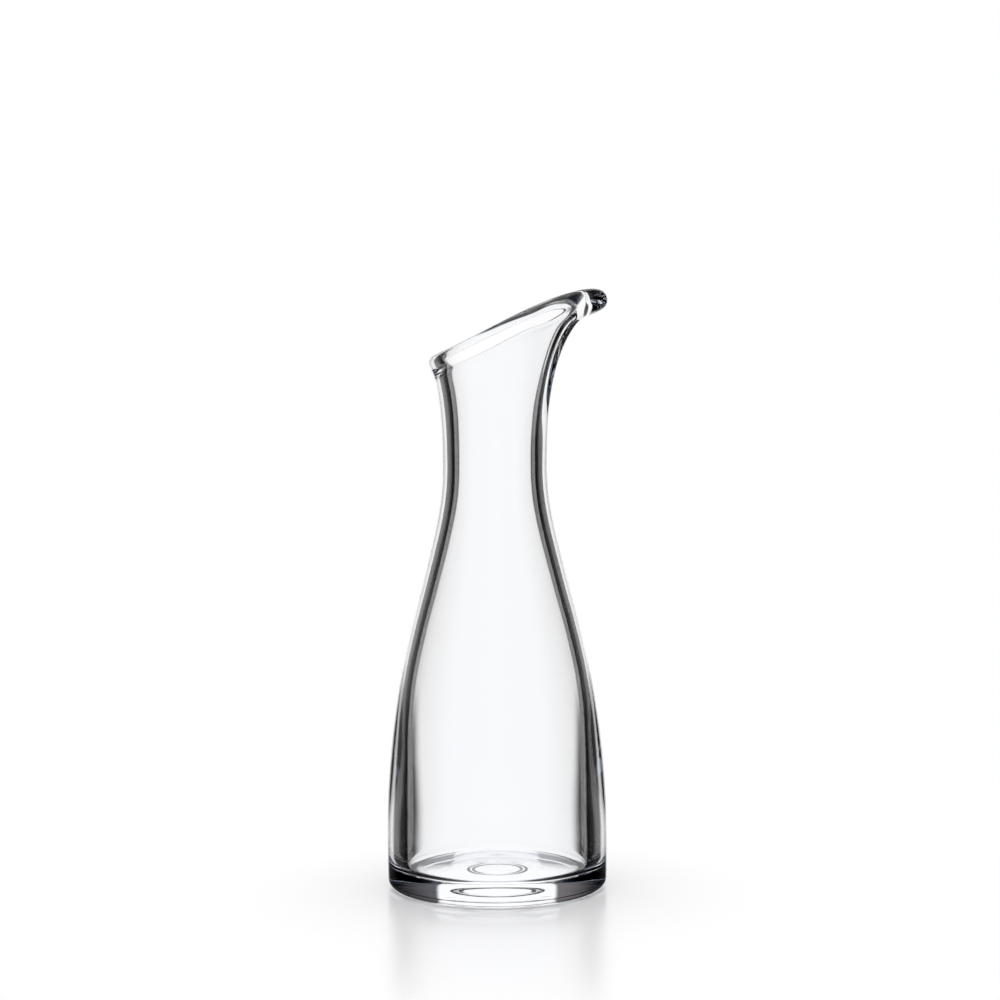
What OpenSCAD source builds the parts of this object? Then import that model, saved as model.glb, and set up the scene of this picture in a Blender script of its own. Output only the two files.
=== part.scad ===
// A clear glass carafe, blown and drawn in one piece: a thick round foot, a belly that
// narrows through a long shoulder to the neck, and a mouth cut on a slant whose front
// is pulled out into a pouring lip. The lip points along +X and the foot stands on z = 0.

/* [Body] */
// Outer diameter of the belly at its widest
belly_d = 102.5; // [94:0.5:112]
// Height of the belly's widest place above the table
belly_z = 25; // [22:0.5:30]
// Height of the shoulder above the belly's widest place
shoulder_rise = 114; // [104:1:126]
// Outer diameter at the shoulder, where the wall turns from bulging to hollow
shoulder_d = 69.3; // [64:0.1:75]
// Lean of the wall at the shoulder, in degrees from upright
shoulder_lean = 14.5; // [11:0.5:18]
// Height of the neck's narrowest place above the shoulder
neck_rise = 57; // [51:1:66]
// Outer diameter of the neck at its narrowest
neck_d = 48.7; // [45:0.1:53]

/* [Curve of the body] */
// Length of curve that stays nearly upright above the belly's widest place
belly_pull = 58; // [48:0.5:66]
// Length of curve that keeps the shoulder's lean below the shoulder
shoulder_pull_low = 14; // [10:0.5:24]
// Length of curve that keeps the shoulder's lean above the shoulder
shoulder_pull_high = 30.4; // [20:0.1:34]
// Length of curve that stays nearly upright below the neck's narrowest place
neck_pull = 16.9; // [12:0.1:24]

/* [Glass] */
// Wall of the belly, above the part that thickens towards the foot
belly_wall = 4.9; // [3.5:0.1:6]
// Wall at the belly's widest place
foot_wall = 9; // [6:0.5:11]
// Height over which the wall thins from there to the belly's
foot_wall_rise = 80; // [50:1:100]
// Wall of the neck and the mouth
neck_wall = 5.6; // [4:0.1:6.4]
// Thickness of the floor above the table
floor_t = 9.5; // [7:0.5:13]
// Radius of the inner corner between floor and wall
inner_corner_r = 4.5; // [3:0.5:12]

/* [Foot] */
// Radius of the rounded outer edge of the foot
foot_edge_r = 5; // [3.5:0.5:7]
// Width of the flat ring that the carafe stands on
foot_ring_w = 5.5; // [3:0.5:9]
// Height of the hollow under the foot
foot_hollow_h = 1.2; // [0.6:0.1:2.5]

/* [Mouth] */
// Reach of the rim at the back, from the axis to its centre line
rim_back_reach = 27.2; // [25:0.1:30]
// Reach of the rim at the sides
rim_side_reach = 30; // [27:0.1:33]
// Reach of the rim at the tip of the pouring lip
lip_reach = 48; // [43:0.1:53]
// Height of the rim's centre line at the back, above the neck's narrowest place
rim_back_rise = 48.2; // [43:0.1:54]
// Height of the rim's centre line at the tip of the lip, above the neck's narrowest place
lip_rise = 77.2; // [70:0.1:84]
// Angle to each side of the tip over which the lip runs out into the round rim
lip_spread = 26; // [22:0.5:34]
// Upward slope of the rim at the back, in degrees
rim_back_slope = 17; // [12:0.5:24]
// Upward slope of the rim at the tip, in degrees
lip_slope = 0; // [0:0.5:10]

/* [Curve of the mouth] */
// Length of curve that stays nearly upright above the neck, at the back
back_pull = 12; // [9:0.1:18]
// The same length below the lip
lip_pull = 64; // [54:0.1:70]
// Length of curve that runs straight into the rim, at the back
back_run = 14.3; // [10:0.1:20]
// The same length at the lip
lip_run = 12.3; // [10:0.1:18]
// Angle of the wall above level where it meets the rim, at the back
back_flare = 67; // [55:1:80]
// The same angle at the lip
lip_flare = 40; // [30:1:50]

/* [Rim] */
// Thickness of the rounded rim at the back and the sides
rim_t = 6.8; // [6.4:0.1:8]
// Thickness of the rounded rim at the tip of the lip
lip_t = 10.2; // [8:0.1:11.5]
// Share of the mouth's height over which the wall swells into the rim, at the back
rim_swell = 0.15; // [0.1:0.01:0.3]
// The same share at the lip
lip_swell = 0.3; // [0.2:0.01:0.45]

/* [Hidden] */
// Facets of a full turn, and the steps along each curve
$fn = 96;
body_steps = 18;
floor_steps = 6;
mouth_columns = 72;
mouth_rows = 15;
rim_rows = 7;
// How much closer together the mouth's columns stand at the lip than at the back
column_crowding = 30;
// How deep the mouth is rooted in the neck, and how far it stays inside the neck's faces
root_depth = 0.4;
root_inset = 0.05;

belly_r = belly_d / 2;
neck_r = neck_d / 2;
shoulder_z = belly_z + shoulder_rise;
neck_z = shoulder_z + neck_rise;
foot_r = belly_r - foot_edge_r;
// Inner corner, held below the belly's widest place
corner_r = min(inner_corner_r, belly_z - floor_t);

// Mix of two values
function mix(a, b, share) = a + (b - a) * share;
// Zero to one with level ends
function ease(t) = t * t * (3 - 2 * t);
// Point of a curve with four control points
function bezier(p, t) = pow(1 - t, 3) * p[0] + 3 * t * pow(1 - t, 2) * p[1]
    + 3 * t * t * (1 - t) * p[2] + t * t * t * p[3];
// Direction of the same curve
function bezier_way(p, t) = let (d = pow(1 - t, 2) * (p[1] - p[0])
    + 2 * t * (1 - t) * (p[2] - p[1]) + t * t * (p[3] - p[2])) d / norm(d);
// Outward side of a direction that runs up the wall
function outward(way) = [way.y, -way.x];

// Outer curve of the belly up to the shoulder, and of the shoulder up to the neck
lean_way = [-sin(shoulder_lean), cos(shoulder_lean)];
shoulder_at = [shoulder_d / 2, shoulder_z];
belly_curve = [[belly_r, belly_z], [belly_r, belly_z + belly_pull],
    shoulder_at - shoulder_pull_low * lean_way, shoulder_at];
neck_curve = [shoulder_at, shoulder_at + shoulder_pull_high * lean_way,
    [neck_r, neck_z - neck_pull], [neck_r, neck_z]];

// Points of the wall, moved inward by the share of the wall that inner gives
function wall_at(z) = mix(belly_wall, neck_wall, (z - belly_z) / (neck_z - belly_z))
    + (foot_wall - belly_wall) * (1 - ease(min(1, (z - belly_z) / foot_wall_rise)));
function wall_point(curve, t, inner) = let (p = bezier(curve, t))
    p - inner * wall_at(p.y) * outward(bezier_way(curve, t));
function wall_line(inner) = [
    for (i = [0 : body_steps]) wall_point(belly_curve, i / body_steps, inner),
    for (i = [1 : body_steps]) wall_point(neck_curve, i / body_steps, inner)
];
function backwards(list) = [for (i = [len(list) - 1 : -1 : 0]) list[i]];
function arc(centre, r, from, to, steps) =
    [for (i = [0 : steps]) centre + r * [cos(mix(from, to, i / steps)), sin(mix(from, to, i / steps))]];

// Underside of the foot: a shallow dome inside the ring that stands on the table
hollow_r = foot_r - foot_ring_w;
dome_r = (hollow_r * hollow_r + foot_hollow_h * foot_hollow_h) / (2 * foot_hollow_h);
dome_angle = asin(hollow_r / dome_r);
foot_line = concat(
    arc([0, foot_hollow_h - dome_r], dome_r, 90, 90 - dome_angle, floor_steps),
    arc([foot_r, foot_edge_r], foot_edge_r, -90, 0, floor_steps));
// Floor and inner corner of the hollow inside
inner_line = concat([[0, floor_t]],
    arc([belly_r - foot_wall - corner_r, floor_t + corner_r], corner_r, -90, 0, floor_steps));

// Weight of the lip at an angle from its tip: one at the tip, nothing at the back
function lip(angle) = exp(-pow(angle / lip_spread, 2));
// Centre line of the rim: its distance from the axis, and its height above the neck,
// which rises from back to tip with a set slope at both ends
function rim_reach(angle) = let (backward = pow(min(0, cos(angle)), 2))
    mix(mix(rim_side_reach, rim_back_reach, backward), lip_reach, lip(angle));
function rim_rise(angle) = let (
        length = rim_back_reach + lip_reach,
        t = max(0, rim_back_reach + rim_reach(angle) * cos(angle)) / length)
    mix(rim_back_rise, lip_rise, ease(t))
    + length * t * (1 - t) * ((1 - t) * tan(rim_back_slope) - t * tan(lip_slope));

// Centre curve of the mouth's wall at an angle, from the neck to the rim
function mouth_curve(angle) = let (
        w = lip(angle),
        root = [neck_r - neck_wall / 2, neck_z],
        end = [rim_reach(angle), neck_z + rim_rise(angle)],
        flare = mix(back_flare, lip_flare, w))
    [root, root + [0, mix(back_pull, lip_pull, w)],
    end - mix(back_run, lip_run, w) * [cos(flare), sin(flare)], end];
// Half the wall's thickness along that curve, swelling into the rim
function half_wall(angle, t) = let (
        w = lip(angle),
        swell = mix(rim_swell, lip_swell, w),
        rim_half = mix(rim_t, lip_t, w) / 2)
    mix(neck_wall / 2, rim_half, ease(max(0, t - 1 + swell) / swell));
// Closed outline of the wall at an angle: up the outside, round the rim, down the inside
function mouth_outline(angle) = let (
        curve = mouth_curve(angle),
        end_way = bezier_way(curve, 1),
        root = curve[0],
        root_half = neck_wall / 2 - root_inset,
        side = function (t, s) bezier(curve, t)
            + s * half_wall(angle, t) * outward(bezier_way(curve, t)))
    concat(
        [root + [root_half, -root_depth], root + [root_half, 0]],
        [for (i = [1 : mouth_rows]) side(i / mouth_rows, 1)],
        [for (i = [1 : rim_rows - 1]) let (turn = 180 * i / rim_rows) curve[3]
            + half_wall(angle, 1) * (cos(turn) * outward(end_way) + sin(turn) * end_way)],
        [for (i = [mouth_rows : -1 : 1]) side(i / mouth_rows, -1)],
        [root + [-root_half, 0], root + [-root_half, -root_depth]]);

// Loft of those outlines round the axis
module mouth() {
    columns = [for (i = [0 : mouth_columns - 1])
        let (even = 360 * i / mouth_columns - 180) even - column_crowding * sin(even)];
    outlines = [for (angle = columns) [for (p = mouth_outline(angle))
        [p.x * cos(angle), p.x * sin(angle), p.y]]];
    rows = len(outlines[0]);
    points = [for (outline = outlines) for (p = outline) p];
    faces = [for (i = [0 : mouth_columns - 1]) for (k = [0 : rows - 1])
        let (j = (i + 1) % mouth_columns, m = (k + 1) % rows,
            a = i * rows + k, b = j * rows + k, c = j * rows + m, d = i * rows + m)
        for (face = [[a, c, b], [a, d, c]]) face];
    polyhedron(points, faces);
}

// Foot, belly, shoulder and neck, turned round the axis
module body() {
    rotate_extrude()
        polygon(concat(foot_line, wall_line(0), backwards(wall_line(1)), backwards(inner_line)));
}

module carafe() {
    color([0.9, 0.93, 0.95, 0.4]) union() {
        body();
        mouth();
    }
}

carafe();
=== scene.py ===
import math

import bpy
from bpy.props import FloatProperty, FloatVectorProperty, PointerProperty
from mathutils import Matrix, Vector


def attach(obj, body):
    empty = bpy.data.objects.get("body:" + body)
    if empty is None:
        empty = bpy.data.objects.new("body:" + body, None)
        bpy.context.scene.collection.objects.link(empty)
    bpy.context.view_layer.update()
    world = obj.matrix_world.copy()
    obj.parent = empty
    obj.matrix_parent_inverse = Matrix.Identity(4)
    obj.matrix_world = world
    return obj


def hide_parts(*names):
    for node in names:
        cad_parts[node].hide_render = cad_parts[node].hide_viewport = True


bl_info = {
    "name": "Glass Carafe",
    "version": (1, 0, 0),
    "blender": (4, 5, 0),
    "location": "3D View > Sidebar > Carafe",
    "description": "Models a clear glass carafe with a drawn pouring lip, and a light tent round it",
    "category": "Object",
}

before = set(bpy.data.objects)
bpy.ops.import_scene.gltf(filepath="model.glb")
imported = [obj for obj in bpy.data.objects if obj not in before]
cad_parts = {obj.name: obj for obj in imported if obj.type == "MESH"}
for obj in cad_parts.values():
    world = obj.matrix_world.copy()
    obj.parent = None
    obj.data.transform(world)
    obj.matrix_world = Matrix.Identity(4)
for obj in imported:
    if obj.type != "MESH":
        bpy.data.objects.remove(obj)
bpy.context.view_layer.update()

MM = 0.001
FULL_TURN = 2 * math.pi
WHITE = (1.0, 1.0, 1.0, 1.0)
BLACK = (0.0, 0.0, 0.0)
# Rows of the mesh along each stretch of the wall's outline, and columns round the axis
HOLLOW_ROWS = 8
RING_ROWS = 3
EDGE_ROWS = 8
BELLY_ROWS = 32
NECK_ROWS = 26
MOUTH_ROWS = 22
RIM_ROWS = 12
CORNER_ROWS = 10
FLOOR_ROWS = 8
COLUMNS = 96
# Radius of the patches that close the floor and the underside
PATCH_RADIUS = 3 * MM
# Points of the turned wall that lie nearer together than this are joined
JOIN_DISTANCE = MM / 100
# Corners of the floor disc, and faces round and along the tent
FLOOR_CORNERS = 128
TENT_COLUMNS = 64
TENT_ROWS = 32
# Where the floor turns pure white, as shares of its radius
FLOOR_FADE = (0.5, 0.95)
# Where the tent's light changes, as shares of its radius: across, from the left side's colour to the right
# side's; upwards, where the sides and the strip's edges leave the ground behind; and towards the camera,
# where strip and sides give way to the light in front
LEFT_TO_RIGHT = (-0.1, 0.1)
SIDES_RISE = (-0.25, -0.05)
STRIP_RISE = (-0.22, -0.08)
BACK_TO_FRONT = (-0.05, 0.5)
# How often light may turn on its way, in all and by reflection
LIGHT_TURNS = 24
REFLECTION_TURNS = 12


def mix(a, b, share):
    """Blend from a to b."""
    return a + (b - a) * share


def ease(t):
    """Zero to one with level ends."""
    return t * t * (3 - 2 * t)


def curve_point(curve, t):
    """Point of a curve with four control points."""
    a, b, c, d = curve
    return (1 - t) ** 3 * a + 3 * t * (1 - t) ** 2 * b + 3 * t * t * (1 - t) * c + t ** 3 * d


def curve_way(curve, t):
    """Direction of that curve."""
    a, b, c, d = curve
    way = (1 - t) ** 2 * (b - a) + 2 * t * (1 - t) * (c - b) + t * t * (d - c)
    return way.normalized()


def outward(way):
    """Outward side of a direction that runs up the wall."""
    return Vector((way.y, -way.x))


def arc(centre, radius, start, end, rows):
    """Points of an arc, both ends included."""
    angles = [mix(start, end, i / rows) for i in range(rows + 1)]
    return [centre + radius * Vector((math.cos(a), math.sin(a))) for a in angles]


class CarafeBody(bpy.types.PropertyGroup):
    """Sizes of the foot, the belly, the shoulder and the neck"""

    belly_width: FloatProperty(name="Belly width", description="Outer diameter of the belly",
                               default=0.1025, min=0.05, unit="LENGTH")
    belly_height: FloatProperty(name="Belly height", description="Height of the belly's widest place",
                                default=0.025, min=0.01, unit="LENGTH")
    shoulder_rise: FloatProperty(name="Shoulder rise", description="Height of the shoulder above the belly",
                                 default=0.114, min=0.05, unit="LENGTH")
    shoulder_width: FloatProperty(name="Shoulder width", description="Outer diameter at the shoulder",
                                  default=0.0693, min=0.03, unit="LENGTH")
    shoulder_lean: FloatProperty(name="Shoulder lean", description="Lean of the wall at the shoulder",
                                 default=math.radians(14.5), min=0.0, max=0.6, unit="ROTATION")
    neck_rise: FloatProperty(name="Neck rise",
                             description="Height of the neck's narrowest place above the shoulder",
                             default=0.057, min=0.02, unit="LENGTH")
    neck_width: FloatProperty(name="Neck width", description="Outer diameter of the neck",
                              default=0.0487, min=0.02, unit="LENGTH")
    belly_pull: FloatProperty(name="Belly pull",
                              description="Length of curve that stays nearly upright above the belly",
                              default=0.058, min=0.01, unit="LENGTH")
    shoulder_pull_low: FloatProperty(name="Lower shoulder pull",
                                     description="Length of curve that keeps the shoulder's lean below it",
                                     default=0.014, min=0.005, unit="LENGTH")
    shoulder_pull_high: FloatProperty(name="Upper shoulder pull",
                                      description="Length of curve that keeps the shoulder's lean above it",
                                      default=0.0304, min=0.005, unit="LENGTH")
    neck_pull: FloatProperty(name="Neck pull",
                             description="Length of curve that stays nearly upright below the neck",
                             default=0.0169, min=0.005, unit="LENGTH")
    belly_wall: FloatProperty(name="Belly wall", description="Thickness of the belly's wall",
                              default=0.0049, min=0.001, unit="LENGTH")
    foot_wall: FloatProperty(name="Foot wall", description="Thickness of the wall at the belly's widest",
                             default=0.009, min=0.001, unit="LENGTH")
    foot_wall_rise: FloatProperty(name="Foot wall rise",
                                  description="Height over which it thins to the belly's wall",
                                  default=0.08, min=0.005, unit="LENGTH")
    neck_wall: FloatProperty(name="Neck wall", description="Thickness of the neck's and the mouth's wall",
                             default=0.0056, min=0.001, unit="LENGTH")
    floor_thickness: FloatProperty(name="Floor thickness", description="Thickness of the floor",
                                   default=0.0095, min=0.003, unit="LENGTH")
    inner_corner: FloatProperty(name="Inner corner", description="Radius between floor and wall inside",
                                default=0.0045, min=0.002, unit="LENGTH")
    foot_edge: FloatProperty(name="Foot edge", description="Radius of the foot's outer edge",
                             default=0.005, min=0.001, unit="LENGTH")
    foot_ring: FloatProperty(name="Foot ring", description="Width of the flat ring under the foot",
                             default=0.0055, min=0.001, unit="LENGTH")
    foot_hollow: FloatProperty(name="Foot hollow", description="Height of the hollow under the foot",
                               default=0.0012, min=0.0002, unit="LENGTH")


class CarafeMouth(bpy.types.PropertyGroup):
    """Sizes of the mouth, its rim and its pouring lip"""

    rim_back: FloatProperty(name="Rim at back",
                            description="Reach of the rim's centre line at the back, from the axis",
                            default=0.0272, min=0.01, unit="LENGTH")
    rim_side: FloatProperty(name="Rim at sides", description="Reach of the rim's centre line at the sides",
                            default=0.03, min=0.01, unit="LENGTH")
    lip_reach: FloatProperty(name="Lip reach", description="Reach of the rim's centre line at the lip's tip",
                             default=0.048, min=0.02, unit="LENGTH")
    rim_back_rise: FloatProperty(name="Rim rise at back",
                                 description="Height of the rim's centre line at the back, above the neck",
                                 default=0.0482, min=0.01, unit="LENGTH")
    # A hair lower than in the solid, so that the smooth lip stays inside the faceted one's box
    lip_rise: FloatProperty(name="Lip rise", description="Height of the lip's centre line above the neck",
                            default=0.07717, min=0.02, unit="LENGTH")
    lip_spread: FloatProperty(name="Lip spread", description="Angle over which the lip runs out",
                              default=math.radians(26), min=0.2, unit="ROTATION")
    back_slope: FloatProperty(name="Slope at back", description="Upward slope of the rim at the back",
                              default=math.radians(17), min=0.0, unit="ROTATION")
    lip_slope: FloatProperty(name="Slope at lip", description="Upward slope of the rim at the tip",
                             default=math.radians(0), min=0.0, unit="ROTATION")
    back_pull: FloatProperty(name="Back pull",
                             description="Length of curve that stays nearly upright at the back of the neck",
                             default=0.012, min=0.002, unit="LENGTH")
    lip_pull: FloatProperty(name="Lip pull", description="The same length below the lip",
                            default=0.064, min=0.002, unit="LENGTH")
    back_run: FloatProperty(name="Back run",
                            description="Length of curve that runs straight into the rim, at the back",
                            default=0.0143, min=0.002, unit="LENGTH")
    lip_run: FloatProperty(name="Lip run", description="The same length at the lip",
                           default=0.0123, min=0.002, unit="LENGTH")
    back_flare: FloatProperty(name="Back flare", description="Angle of the wall above level at the back rim",
                              default=math.radians(67), min=0.2, unit="ROTATION")
    lip_flare: FloatProperty(name="Lip flare", description="The same angle at the lip",
                             default=math.radians(40), min=0.1, unit="ROTATION")
    rim_thickness: FloatProperty(name="Rim thickness", description="Thickness of the rounded rim",
                                 default=0.0068, min=0.002, unit="LENGTH")
    lip_thickness: FloatProperty(name="Lip thickness", description="Thickness of the lip's rounded tip",
                                 default=0.0102, min=0.002, unit="LENGTH")
    rim_swell: FloatProperty(name="Rim swell",
                             description="Share of the mouth's height where the wall swells into the rim",
                             default=0.15, min=0.05, max=0.9)
    lip_swell: FloatProperty(name="Lip swell", description="The same share at the lip",
                             default=0.3, min=0.05, max=0.9)


class CarafeGlass(bpy.types.PropertyGroup):
    """Colour and finish of the glass"""

    tint: FloatVectorProperty(name="Tint", description="Colour of the glass surface", subtype="COLOR",
                              default=(0.995, 0.998, 1.0), min=0.0, max=1.0)
    depth_tint: FloatVectorProperty(name="Depth tint", description="Colour that thick glass takes",
                                    subtype="COLOR", default=(0.75, 0.82, 0.86), min=0.0, max=1.0)
    depth: FloatProperty(name="Depth", description="How much light the glass takes for each metre",
                         default=0.8, min=0.0)
    index: FloatProperty(name="Index", description="Refractive index", default=1.52, min=1.0, max=2.0)
    wave_count: FloatProperty(name="Wave count", description="Faint waves of the surface for each metre",
                              default=45.0, min=0.0)
    wave_strength: FloatProperty(name="Wave strength", description="Share of the waves' height that shows",
                                 default=0.02, min=0.0, max=1.0)
    wave_height: FloatProperty(name="Wave height", description="Full height of the waves",
                               default=0.002, min=0.0, unit="LENGTH")


class CarafeStage(bpy.types.PropertyGroup):
    """Camera, floor and light"""

    view_distance: FloatProperty(name="View distance", description="Distance from camera to carafe",
                                 default=0.9, min=0.5, unit="LENGTH")
    view_width: FloatProperty(name="View width", description="Width of the picture at the carafe",
                              default=0.4662, min=0.1, unit="LENGTH")
    view_height: FloatProperty(name="View height", description="Height of the picture's centre",
                               default=0.1804, min=0.0, unit="LENGTH")
    view_offset: FloatProperty(name="View offset", description="Picture's centre to the right of the axis",
                               default=0.0023, unit="LENGTH")
    elevation: FloatProperty(name="Elevation", description="Angle by which the camera looks down",
                             default=math.radians(1.25), unit="ROTATION")
    roll: FloatProperty(name="Roll", description="Turn of the camera about its own view",
                        default=math.radians(-0.36), unit="ROTATION")
    floor_radius: FloatProperty(name="Floor radius", description="Radius of the white floor disc",
                                default=0.27, min=0.1, unit="LENGTH")
    floor_colour: FloatVectorProperty(name="Floor colour", description="Colour of the floor",
                                      subtype="COLOR", default=(0.85, 0.85, 0.86), min=0.0, max=1.0)
    floor_roughness: FloatProperty(name="Floor roughness", description="Roughness of the floor",
                                   default=0.25, min=0.0, max=1.0)
    floor_glow: FloatProperty(name="Floor glow", description="Brightness that the floor has of its own",
                              default=0.15, min=0.0)
    room_light: FloatProperty(name="Room light", description="Strength of the soft light all round",
                              default=1.0, min=0.0)
    tent_radius: FloatProperty(name="Tent radius", description="Radius of the light tent",
                               default=30.0, min=5.0, unit="LENGTH")
    tent_strength: FloatProperty(name="Tent strength", description="Brightness of the whole tent",
                                 default=1.08, min=0.0)
    strip_half: FloatProperty(name="Bright strip",
                              description="Half the angle that the tent's bright strip takes, sideways",
                              default=math.radians(20.5), unit="ROTATION")
    strip_fade: FloatProperty(name="Strip fade", description="Angle over which the bright strip fades out",
                              default=math.radians(2.5), unit="ROTATION")
    strip_taper: FloatProperty(name="Strip taper",
                               description="Share of the radius by which its edges soften near the ground",
                               default=0.12, min=0.0, max=0.3)
    strip_colour: FloatVectorProperty(name="Strip colour", description="Colour of the bright strip",
                                      subtype="COLOR", default=(0.995, 0.99, 0.992), min=0.0, max=1.0)
    side_colour: FloatVectorProperty(name="Side colour", description="Dim colour left of the strip",
                                     subtype="COLOR", default=(0.15, 0.138, 0.14), min=0.0, max=1.0)
    right_colour: FloatVectorProperty(name="Right colour", description="The same right of the strip",
                                      subtype="COLOR", default=(0.095, 0.088, 0.095), min=0.0, max=1.0)
    side_drop: FloatProperty(name="Side drop", description="Share of the dim light lost near the ground",
                             default=0.6, min=0.0, max=1.0)
    side_end: FloatProperty(name="Side end", description="Angle at which the dim sides begin to fade",
                            default=math.radians(23), unit="ROTATION")
    side_fade: FloatProperty(name="Side fade", description="Angle over which they fade into the dark",
                             default=math.radians(35), unit="ROTATION")
    front_colour: FloatVectorProperty(name="Front colour", description="Faint light on the camera's side",
                                      subtype="COLOR", default=(0.27, 0.33, 0.43), min=0.0, max=1.0)


def wall_outline(body, mouth, angle):
    """Half outline of the glass in the plane at an angle from the lip, as (radius, height) points: from
    the middle of the underside up the outside, round the rim, and down the inside to the floor's middle."""
    belly_radius = body.belly_width / 2
    neck_radius = body.neck_width / 2
    shoulder_height = body.belly_height + body.shoulder_rise
    neck_height = shoulder_height + body.neck_rise
    foot_radius = belly_radius - body.foot_edge
    hollow_radius = foot_radius - body.foot_ring
    dome_radius = (hollow_radius ** 2 + body.foot_hollow ** 2) / (2 * body.foot_hollow)
    dome_angle = math.asin(hollow_radius / dome_radius)
    patch_angle = math.asin(PATCH_RADIUS / dome_radius)
    quarter = FULL_TURN / 4

    hollow = arc(Vector((0, body.foot_hollow - dome_radius)), dome_radius, quarter - patch_angle,
                 quarter - dome_angle, HOLLOW_ROWS)
    ring = [Vector((mix(hollow_radius, foot_radius, i / RING_ROWS), 0)) for i in range(1, RING_ROWS)]
    edge = arc(Vector((foot_radius, body.foot_edge)), body.foot_edge, -quarter, 0, EDGE_ROWS)

    lean = Vector((-math.sin(body.shoulder_lean), math.cos(body.shoulder_lean)))
    shoulder = Vector((body.shoulder_width / 2, shoulder_height))
    belly_curve = (Vector((belly_radius, body.belly_height)),
                   Vector((belly_radius, body.belly_height + body.belly_pull)),
                   shoulder - body.shoulder_pull_low * lean, shoulder)
    neck_curve = (shoulder, shoulder + body.shoulder_pull_high * lean,
                  Vector((neck_radius, neck_height - body.neck_pull)), Vector((neck_radius, neck_height)))

    def wall_point(curve, t, inner):
        """Point of the wall's outside, or of its inside where inner is one."""
        point = curve_point(curve, t)
        rise = point.y - body.belly_height
        plain = mix(body.belly_wall, body.neck_wall, rise / (neck_height - body.belly_height))
        extra = (body.foot_wall - body.belly_wall) * (1 - ease(min(1, rise / body.foot_wall_rise)))
        return point - inner * (plain + extra) * outward(curve_way(curve, t))

    def wall_line(inner):
        """Those points from the belly up to the neck."""
        belly = [wall_point(belly_curve, i / BELLY_ROWS, inner) for i in range(BELLY_ROWS + 1)]
        neck = [wall_point(neck_curve, i / NECK_ROWS, inner) for i in range(1, NECK_ROWS + 1)]
        return belly + neck

    corner_radius = min(body.inner_corner, body.belly_height - body.floor_thickness)
    corner_centre = Vector((belly_radius - body.foot_wall - corner_radius,
                            body.floor_thickness + corner_radius))
    corner = arc(corner_centre, corner_radius, 0, -quarter, CORNER_ROWS)[1:]
    floor = [Vector((mix(corner_centre.x, PATCH_RADIUS, i / FLOOR_ROWS), body.floor_thickness))
             for i in range(1, FLOOR_ROWS + 1)]
    return (hollow + ring + edge + wall_line(0) + mouth_outline(body, mouth, neck_height, angle)
            + wall_line(1)[::-1] + corner + floor)


def lip_weight(mouth, angle):
    """One at the tip of the lip, nothing at the back."""
    return math.exp(-(angle / mouth.lip_spread) ** 2)


def mouth_outline(body, mouth, neck_height, angle):
    """Outline of the mouth's wall at an angle from the lip: up outside, round the rim and down inside."""
    weight = lip_weight(mouth, angle)
    backward = min(0, math.cos(angle)) ** 2
    reach = mix(mix(mouth.rim_side, mouth.rim_back, backward), mouth.lip_reach, weight)
    length = mouth.rim_back + mouth.lip_reach
    t = max(0, mouth.rim_back + reach * math.cos(angle)) / length
    bend = (1 - t) * math.tan(mouth.back_slope) - t * math.tan(mouth.lip_slope)
    rise = mix(mouth.rim_back_rise, mouth.lip_rise, ease(t)) + length * t * (1 - t) * bend
    flare = mix(mouth.back_flare, mouth.lip_flare, weight)
    run = mix(mouth.back_run, mouth.lip_run, weight)
    root = Vector((body.neck_width / 2 - body.neck_wall / 2, neck_height))
    end = Vector((reach, neck_height + rise))
    curve = (root, root + Vector((0, mix(mouth.back_pull, mouth.lip_pull, weight))),
             end - run * Vector((math.cos(flare), math.sin(flare))), end)
    swell = mix(mouth.rim_swell, mouth.lip_swell, weight)
    rim_half = mix(mouth.rim_thickness, mouth.lip_thickness, weight) / 2

    def side(t, sign):
        """Point of the wall's outside where sign is one, or of its inside where it is minus one."""
        half = mix(body.neck_wall / 2, rim_half, ease(max(0, t - 1 + swell) / swell))
        return curve_point(curve, t) + sign * half * outward(curve_way(curve, t))

    steps = [i / MOUTH_ROWS for i in range(1, MOUTH_ROWS + 1)]
    way = curve_way(curve, 1)
    turns = [math.pi * i / RIM_ROWS for i in range(1, RIM_ROWS)]
    rim = [end + rim_half * (math.cos(a) * outward(way) + math.sin(a) * way) for a in turns]
    return [side(t, 1) for t in steps] + rim + [side(t, -1) for t in reversed(steps)]


def new_material(name):
    """Material with an empty node tree, that tree, and its output node."""
    material = bpy.data.materials.new(name)
    material.use_nodes = True
    material.node_tree.nodes.clear()
    return material, material.node_tree, material.node_tree.nodes.new("ShaderNodeOutputMaterial")


def math_node(tree, kind, *values):
    """Result of one kind of sum on the values of sockets."""
    node = tree.nodes.new("ShaderNodeMath")
    node.operation = kind
    for socket, value in zip(node.inputs, values):
        tree.links.new(value, socket)
    return node.outputs["Value"]


def ramp(tree, value, start, end, first=0.0, last=1.0):
    """Smooth passage from first to last while value goes from start to end."""
    node = tree.nodes.new("ShaderNodeMapRange")
    node.interpolation_type = "SMOOTHSTEP"
    for name, number in (("From Min", start), ("From Max", end), ("To Min", first), ("To Max", last)):
        node.inputs[name].default_value = number
    tree.links.new(value, node.inputs["Value"])
    return node.outputs["Result"]


def blend_colours(tree, share, first, second):
    """Colour between first and second, each a colour or a socket."""
    node = tree.nodes.new("ShaderNodeMix")
    node.data_type = "RGBA"
    tree.links.new(share, node.inputs["Factor"])
    for name, colour in (("A", first), ("B", second)):
        socket = next(i for i in node.inputs if i.name == name and i.type == "RGBA")
        if isinstance(colour, bpy.types.NodeSocket):
            tree.links.new(colour, socket)
        else:
            socket.default_value = (*colour, 1.0)
    return next(o for o in node.outputs if o.type == "RGBA")


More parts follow.
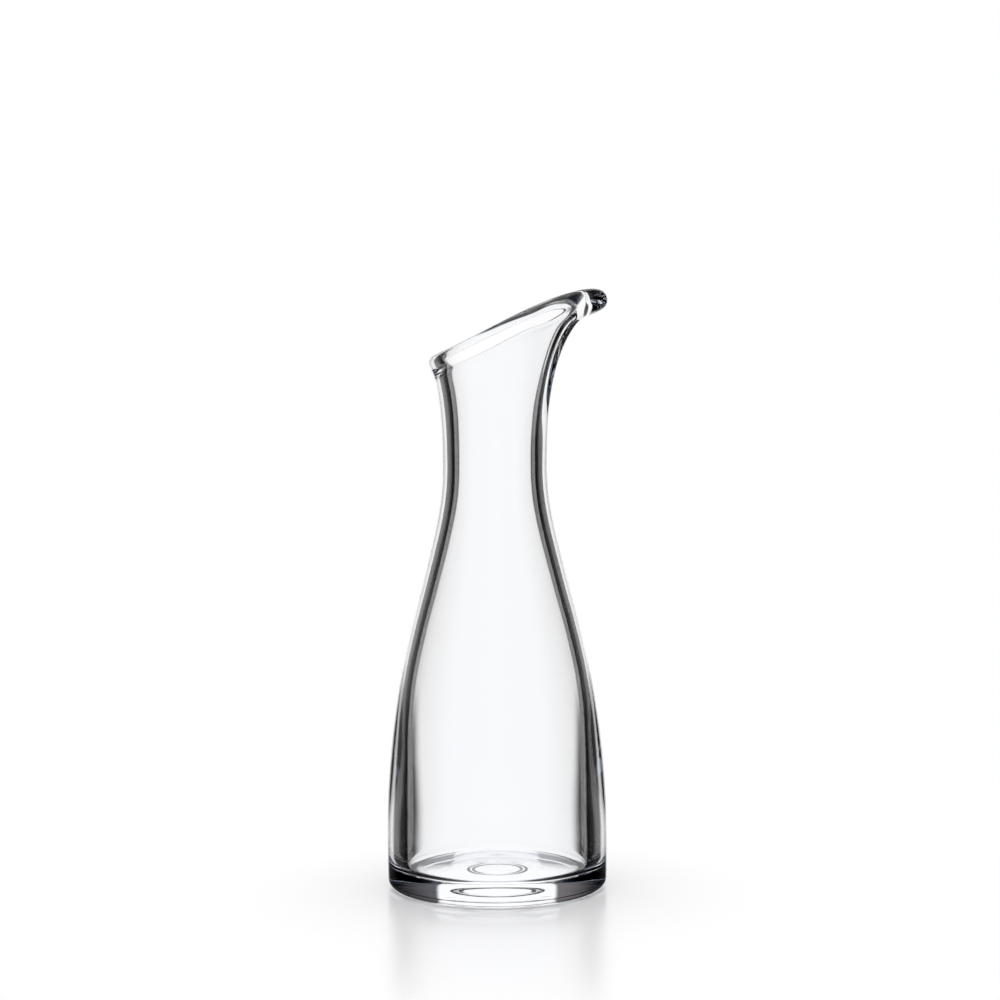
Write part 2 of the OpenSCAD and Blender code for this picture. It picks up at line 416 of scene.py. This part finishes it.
def blend_shaders(tree, share, first, second):
    """Shader between first and second."""
    node = tree.nodes.new("ShaderNodeMixShader")
    for socket, value in zip(node.inputs, (share, first, second)):
        tree.links.new(value, socket)
    return node.outputs["Shader"]


def glass_material(look):
    """Clear fire-polished glass: a smooth skin with the faintest waves, and a little colour in the depth."""
    material, tree, output = new_material("clear_glass")
    nodes, links = tree.nodes, tree.links
    place = nodes.new("ShaderNodeTexCoord")
    waves = nodes.new("ShaderNodeTexNoise")
    waves.inputs["Scale"].default_value = look.wave_count
    waves.inputs["Detail"].default_value = 1.0
    bump = nodes.new("ShaderNodeBump")
    bump.inputs["Strength"].default_value = look.wave_strength
    bump.inputs["Distance"].default_value = look.wave_height
    skin = nodes.new("ShaderNodeBsdfPrincipled")
    skin.inputs["Base Color"].default_value = (*look.tint, 1.0)
    skin.inputs["Transmission Weight"].default_value = 1.0
    skin.inputs["Roughness"].default_value = 0.0
    skin.inputs["IOR"].default_value = look.index
    depth = nodes.new("ShaderNodeVolumeAbsorption")
    depth.inputs["Color"].default_value = (*look.depth_tint, 1.0)
    depth.inputs["Density"].default_value = look.depth
    links.new(place.outputs["Object"], waves.inputs["Vector"])
    links.new(waves.outputs["Fac"], bump.inputs["Height"])
    links.new(bump.outputs["Normal"], skin.inputs["Normal"])
    links.new(skin.outputs["BSDF"], output.inputs["Surface"])
    links.new(depth.outputs["Volume"], output.inputs["Volume"])
    return material


def deselect_all():
    """Leave nothing selected in object mode."""
    bpy.ops.object.select_all(action="DESELECT")


def edit_all():
    """Enter edit mode with all of the mesh selected."""
    bpy.ops.object.mode_set(mode="EDIT")
    bpy.ops.mesh.select_all(action="SELECT")


def draw_outline(points):
    """Chain of edges through the points, in the plane y = 0, left active in edit mode."""
    bpy.ops.mesh.primitive_plane_add(size=MM, location=(0, 0, 0))
    edit_all()
    bpy.ops.mesh.merge(type="CENTER")
    bpy.ops.transform.translate(value=(points[0].x, 0, points[0].y))
    for start, end in zip(points, points[1:]):
        step = end - start
        bpy.ops.mesh.extrude_vertices_move(TRANSFORM_OT_translate={"value": (step.x, 0, step.y)})
    return bpy.context.active_object


def number_rows(obj):
    """Write each vertex's place in the chain into an attribute, which the spin copies."""
    bpy.ops.object.mode_set(mode="OBJECT")
    rows = obj.data.attributes.new("row", "INT", "POINT")
    rows.data.foreach_set("value", list(range(len(obj.data.vertices))))


def close_patch(obj, is_patch):
    """Fill the open ring that is_patch picks by its height with a grid of faces."""
    bpy.ops.object.mode_set(mode="EDIT")
    bpy.ops.mesh.select_mode(type="EDGE")
    bpy.ops.mesh.select_all(action="DESELECT")
    bpy.ops.object.mode_set(mode="OBJECT")
    mesh = obj.data
    reach = PATCH_RADIUS + JOIN_DISTANCE
    for edge in mesh.edges:
        ends = [mesh.vertices[v].co for v in edge.vertices]
        edge.select = all(math.hypot(p.x, p.y) < reach and is_patch(p.z) for p in ends)
    bpy.ops.object.mode_set(mode="EDIT")
    bpy.ops.mesh.fill_grid(span=COLUMNS // 4)
    bpy.ops.object.mode_set(mode="OBJECT")


class CARAFE_OT_glass(bpy.types.Operator):
    """Turn the carafe's outline round its axis, draw out the lip and finish the glass"""

    bl_idname = "carafe.glass"
    bl_label = "Carafe"

    def execute(self, context):
        body, mouth = context.scene.carafe_body, context.scene.carafe_mouth
        deselect_all()
        back = FULL_TURN / 2
        obj = draw_outline(wall_outline(body, mouth, back))
        number_rows(obj)
        edit_all()
        bpy.ops.mesh.spin(steps=COLUMNS, angle=FULL_TURN, center=(0, 0, 0), axis=(0, 0, 1))
        edit_all()
        bpy.ops.mesh.remove_doubles(threshold=JOIN_DISTANCE)
        bpy.ops.object.mode_set(mode="OBJECT")
        self.draw_out_lip(obj, body, mouth)
        close_patch(obj, lambda z: z < body.floor_thickness / 2)
        close_patch(obj, lambda z: z > body.floor_thickness / 2)
        edit_all()
        bpy.ops.mesh.normals_make_consistent(inside=False)
        bpy.ops.object.mode_set(mode="OBJECT")
        smooth = obj.modifiers.new("smooth", "SUBSURF")
        smooth.levels = smooth.render_levels = 1
        bpy.ops.object.modifier_apply(modifier=smooth.name)
        bpy.ops.object.shade_smooth()
        obj.name = "carafe_glass"
        obj.data.materials.append(glass_material(context.scene.carafe_glass))
        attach(obj, "root")
        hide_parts("carafe")
        return {"FINISHED"}

    @staticmethod
    def draw_out_lip(obj, body, mouth):
        """Move each column of the turned wall to the outline that the glass has at that angle."""
        mesh = obj.data
        rows = mesh.attributes["row"]
        outlines = {}
        for vertex, row in zip(mesh.vertices, rows.data):
            angle = math.atan2(vertex.co.y, vertex.co.x)
            column = round(angle / FULL_TURN * COLUMNS)
            if column not in outlines:
                outlines[column] = wall_outline(body, mouth, abs(column) * FULL_TURN / COLUMNS)
            point = outlines[column][row.value]
            vertex.co = (point.x * math.cos(angle), point.x * math.sin(angle), point.y)
        mesh.attributes.remove(rows)


def floor_material(stage):
    """Pale glossy floor that turns pure white before its border."""
    material, tree, output = new_material("studio_floor")
    place = tree.nodes.new("ShaderNodeTexCoord")
    length = tree.nodes.new("ShaderNodeVectorMath")
    length.operation = "LENGTH"
    tree.links.new(place.outputs["Object"], length.inputs[0])
    fade = ramp(tree, length.outputs["Value"], *(share * stage.floor_radius for share in FLOOR_FADE))
    surface = tree.nodes.new("ShaderNodeBsdfPrincipled")
    surface.inputs["Base Color"].default_value = (*stage.floor_colour, 1.0)
    surface.inputs["Roughness"].default_value = stage.floor_roughness
    surface.inputs["Emission Color"].default_value = WHITE
    surface.inputs["Emission Strength"].default_value = stage.floor_glow
    white = tree.nodes.new("ShaderNodeEmission")
    whole = blend_shaders(tree, fade, surface.outputs["BSDF"], white.outputs["Emission"])
    tree.links.new(whole, output.inputs["Surface"])
    return material


def tent_material(stage):
    """Light tent: a bright strip behind the carafe and above it, dim sides, and a faint light in front.
    The tent's own X runs to the right, its Y upwards and its Z towards the camera."""
    material, tree, output = new_material("light_tent")
    coordinates = tree.nodes.new("ShaderNodeTexCoord")
    place = tree.nodes.new("ShaderNodeSeparateXYZ")
    tree.links.new(coordinates.outputs["Object"], place.inputs["Vector"])

    def passage(value, start, end, first=0.0, last=1.0):
        """Ramp between two places that are shares of the tent's radius."""
        return ramp(tree, value, start * stage.tent_radius, end * stage.tent_radius, first, last)

    # Dim sides, darker near the ground, that fade into the dark
    sides = blend_colours(tree, passage(place.outputs["X"], *LEFT_TO_RIGHT),
                          stage.side_colour, stage.right_colour)
    drop = passage(place.outputs["Y"], *SIDES_RISE, stage.side_drop, 0.0)
    sides = blend_colours(tree, drop, sides, BLACK)
    across = math_node(tree, "ABSOLUTE", place.outputs["X"])
    side_edge = math.sin(stage.side_end)
    side_border = math.sin(stage.side_end + stage.side_fade)
    sides = blend_colours(tree, passage(across, side_edge, side_border), sides, BLACK)
    # A bright strip between them, whose edges are softer and nearer together close to the ground
    strip_edge = math.sin(stage.strip_half)
    strip_border = math.sin(stage.strip_half + stage.strip_fade)
    soft = passage(across, strip_edge - stage.strip_taper, strip_border)
    low = math_node(tree, "MULTIPLY", soft, passage(place.outputs["Y"], *STRIP_RISE, 1.0, 0.0))
    beside = math_node(tree, "MAXIMUM", low, passage(across, strip_edge, strip_border))
    wall = blend_colours(tree, beside, stage.strip_colour, sides)
    # Both give way to a faint cool light on the camera's side
    whole = blend_colours(tree, passage(place.outputs["Z"], *BACK_TO_FRONT), wall, stage.front_colour)
    light = tree.nodes.new("ShaderNodeEmission")
    light.inputs["Strength"].default_value = stage.tent_strength
    tree.links.new(whole, light.inputs["Color"])
    tree.links.new(light.outputs["Emission"], output.inputs["Surface"])
    # Only rays that meet the tent by themselves carry its light
    material.cycles.emission_sampling = "NONE"
    return material


class CARAFE_OT_stage(bpy.types.Operator):
    """Set up the camera, the pale floor, the light tent and the room light"""

    bl_idname = "carafe.stage"
    bl_label = "Stage"

    def execute(self, context):
        stage = context.scene.carafe_stage
        deselect_all()
        camera = self.add_camera(context, stage)
        self.add_floor(context, stage)
        self.add_tent(context, stage, camera)
        self.light_room(context, stage)
        context.scene.view_settings.view_transform = "Standard"
        # Light turns back many times inside the thick lip and foot
        paths = context.scene.cycles
        paths.max_bounces = paths.transmission_bounces = LIGHT_TURNS
        paths.glossy_bounces = REFLECTION_TURNS
        return {"FINISHED"}

    @staticmethod
    def add_camera(context, stage):
        """Near camera, nearly level with the mouth, with the lip to its right."""
        back = Vector((0, -math.cos(stage.elevation), math.sin(stage.elevation)))
        centre = Vector((stage.view_offset, 0, stage.view_height))
        bpy.ops.object.camera_add(location=centre + stage.view_distance * back)
        camera = context.active_object
        camera.name = "studio_camera"
        camera.data.lens = camera.data.sensor_width * stage.view_distance / stage.view_width
        turn = back.to_track_quat("Z", "Y").to_matrix() @ Matrix.Rotation(stage.roll, 3, "Z")
        camera.rotation_mode = "QUATERNION"
        camera.rotation_quaternion = turn.to_quaternion()
        context.scene.camera = camera
        return camera

    @staticmethod
    def add_floor(context, stage):
        """Disc under the carafe. The glass shows the tent in its place."""
        bpy.ops.mesh.primitive_circle_add(vertices=FLOOR_CORNERS, radius=stage.floor_radius,
                                          fill_type="NGON")
        floor = context.active_object
        floor.name = "studio_floor"
        floor.data.materials.append(floor_material(stage))
        floor.visible_transmission = floor.visible_glossy = False

    @staticmethod
    def add_tent(context, stage, camera):
        """Sphere that turns with the camera, and that only reflected and refracted rays see."""
        bpy.ops.mesh.primitive_uv_sphere_add(segments=TENT_COLUMNS, ring_count=TENT_ROWS,
                                             radius=stage.tent_radius)
        tent = context.active_object
        tent.name = "light_tent"
        tent.data.materials.append(tent_material(stage))
        tent.parent = camera
        tent.location = (0, 0, -stage.view_distance)
        tent.visible_camera = tent.visible_diffuse = tent.visible_shadow = False
        tent.visible_volume_scatter = False

    @staticmethod
    def light_room(context, stage):
        """Room that is pure white to the camera and lights the floor with a strength of its own."""
        world = bpy.data.worlds.new("studio_room")
        context.scene.world = world
        world.use_nodes = True
        tree = world.node_tree
        tree.nodes.clear()
        output = tree.nodes.new("ShaderNodeOutputWorld")
        path = tree.nodes.new("ShaderNodeLightPath")
        room = tree.nodes.new("ShaderNodeBackground")
        white = tree.nodes.new("ShaderNodeBackground")
        for light, strength in ((room, stage.room_light), (white, 1.0)):
            light.inputs["Color"].default_value = WHITE
            light.inputs["Strength"].default_value = strength
        whole = blend_shaders(tree, path.outputs["Is Camera Ray"], room.outputs["Background"],
                              white.outputs["Background"])
        tree.links.new(whole, output.inputs["Surface"])


class CARAFE_PT_panel(bpy.types.Panel):
    """Sizes, finish and stage of the carafe"""

    bl_label = "Glass Carafe"
    bl_idname = "CARAFE_PT_panel"
    bl_space_type = "VIEW_3D"
    bl_region_type = "UI"
    bl_category = "Carafe"

    def draw(self, context):
        for group in GROUPS:
            column = self.layout.column(align=True)
            settings = getattr(context.scene, group)
            for name in settings.bl_rna.properties.keys():
                if name not in ("rna_type", "name"):
                    column.prop(settings, name)
        for operator in OPERATORS:
            self.layout.operator(operator.bl_idname)


GROUPS = {"carafe_body": CarafeBody, "carafe_mouth": CarafeMouth, "carafe_glass": CarafeGlass,
          "carafe_stage": CarafeStage}
OPERATORS = (CARAFE_OT_glass, CARAFE_OT_stage)


def register():
    """Add the classes and hang their settings on the scene."""
    for cls in (*GROUPS.values(), *OPERATORS, CARAFE_PT_panel):
        bpy.utils.register_class(cls)
    for name, cls in GROUPS.items():
        setattr(bpy.types.Scene, name, PointerProperty(type=cls))


def unregister():
    """Take the settings and classes away again."""
    for name in GROUPS:
        delattr(bpy.types.Scene, name)
    for cls in (CARAFE_PT_panel, *reversed(OPERATORS), *reversed(GROUPS.values())):
        bpy.utils.unregister_class(cls)


def main():
    """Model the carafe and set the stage."""
    register()
    bpy.ops.carafe.glass()
    bpy.ops.carafe.stage()


if __name__ == "__main__":
    main()
